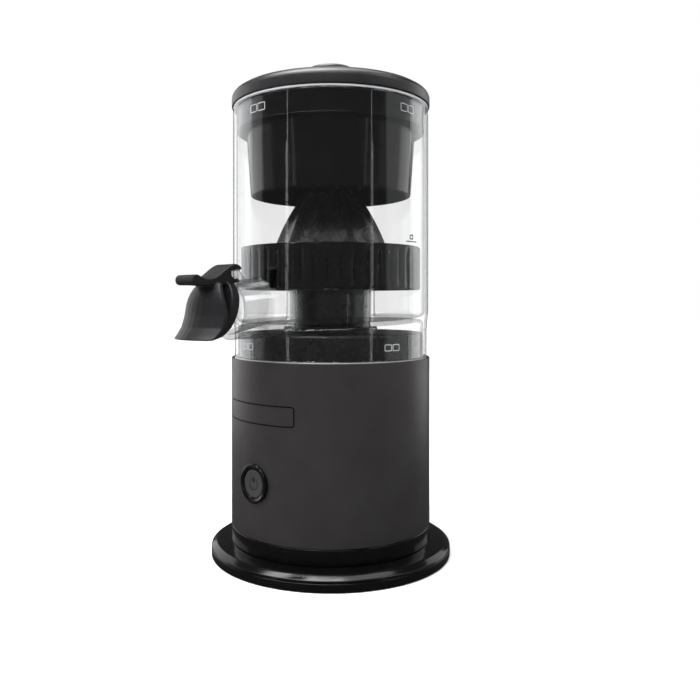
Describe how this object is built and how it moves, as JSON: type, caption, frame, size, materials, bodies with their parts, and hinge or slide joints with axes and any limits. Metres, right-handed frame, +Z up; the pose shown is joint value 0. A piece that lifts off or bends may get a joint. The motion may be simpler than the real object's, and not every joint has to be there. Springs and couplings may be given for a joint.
{
  "type": "citrus press juicer",
  "caption": "Upright cordless citrus press juicer: motor base, clear juice tub with hinged spout cap, slotted strainer, spinning reamer and twist-off press lid.",
  "frame": {"origin": "centre of the flat underside, on the main axis of the base", "axes": "+Z up along the main axis; spout and power button towards -Y; charging socket towards +Y"},
  "size_m": [0.1368, 0.1694, 0.2778],
  "materials": {
    "gloss_black": "polished black ABS",
    "satin_black": "semi-gloss black ABS",
    "matte_black": "matt black ABS",
    "sleeve": "satin dark grey metallic lacquer on a thin metal wrap",
    "button": "satin dark grey",
    "lid": "satin charcoal",
    "cap": "satin black, slightly soft",
    "clear": "clear moulded plastic",
    "silicone": "translucent silicone",
    "rubber": "matt rubber",
    "steel": "plain zinc-plated or stainless steel",
    "brass": "machined brass",
    "gear": "natural acetal",
    "grey_plastic": "grey glass-filled nylon",
    "cell": "plain blue heat-shrink sleeve over the cell",
    "board": "green solder mask"
  },
  "bodies": {
    "base": {"base_flange": "gloss_black", "base_plate": "matte_black", "foot_pad_1": "rubber", "foot_pad_2": "rubber", "foot_pad_3": "rubber", "foot_pad_4": "rubber", "base_screw_1": "steel", "base_screw_2": "steel", "base_screw_3": "steel", "base_screw_4": "steel", "inner_housing": "gloss_black", "housing_sleeve": "sleeve", "motor_plinth": "satin_black", "bearing_tower": "satin_black", "gearbox_housing": "grey_plastic", "gearbox_screw_1": "steel", "gearbox_screw_2": "steel", "gearbox_screw_3": "steel", "motor_screw_1": "steel", "motor_screw_2": "steel", "lower_bush": "brass", "shaft_bearing": "steel", "shaft_seal": "rubber", "motor": "steel", "battery_cradle": "matte_black", "battery_cell_1": "cell", "battery_cell_2": "cell", "control_board": "board", "tact_switch": "matte_black", "charge_board": "board", "charge_socket": "steel", "button_bezel": "gloss_black"},
    "button": {"power_button": "button"},
    "drive": {"drive_shaft": "steel", "drive_gear": "gear"},
    "pinion": {"motor_pinion": "brass", "motor_shaft": "steel"},
    "tub_ring": {"foot_gasket": "silicone"},
    "tub": {"juice_tub": "clear", "tub_foot": "clear", "tub_floor": "clear", "tub_hub": "clear", "tub_spout": "clear", "strainer_basket": "gloss_black"},
    "reamer": {"reamer_cone": "gloss_black"},
    "cap": {"spout_cap": "cap"},
    "lid_ring": {"rim_gasket": "silicone"},
    "lid": {"lid_cover": "lid", "lid_collar": "gloss_black", "press_cup": "gloss_black"}
  },
  "joints": [
    {"name": "button_press", "type": "slide", "parent": "base", "child": "button", "axis": [0, 1, 0], "range_m": [0, 0.0008], "stiffness_N_per_m": 600, "springref_m": -0.001},
    {"name": "drive_spin", "type": "hinge", "parent": "base", "child": "drive", "pos_m": [0, 0, 0.103], "axis": [0, 0, 1], "continuous": true},
    {"name": "motor_spin", "type": "hinge", "parent": "base", "child": "pinion", "pos_m": [0.03, 0, 0.103], "axis": [0, 0, 1], "continuous": true},
    {"name": "tub_turn", "type": "hinge", "parent": "base", "child": "tub_ring", "pos_m": [0, 0, 0.111], "axis": [0, 0, 1], "range_deg": [0, 20]},
    {"name": "tub_lift", "type": "slide", "parent": "tub_ring", "child": "tub", "axis": [0, 0, 1], "range_m": [0, 0.06]},
    {"name": "reamer_spin", "type": "hinge", "parent": "tub", "child": "reamer", "pos_m": [0, 0, 0.164], "axis": [0, 0, 1], "continuous": true},
    {"name": "cap_swing", "type": "hinge", "parent": "tub", "child": "cap", "pos_m": [0, -0.075, 0.1572], "axis": [-1, 0, 0], "range_deg": [-15, 75]},
    {"name": "lid_turn", "type": "hinge", "parent": "tub", "child": "lid_ring", "pos_m": [0, 0, 0.253], "axis": [0, 0, 1], "range_deg": [0, 20]},
    {"name": "lid_lift", "type": "slide", "parent": "lid_ring", "child": "lid", "axis": [0, 0, 1], "range_m": [0, 0.06]}
  ],
  "couplings": [
    {"joint": "motor_spin", "follows": "drive_spin", "ratio": -4},
    {"joint": "reamer_spin", "follows": "drive_spin", "ratio": 1}
  ]
}
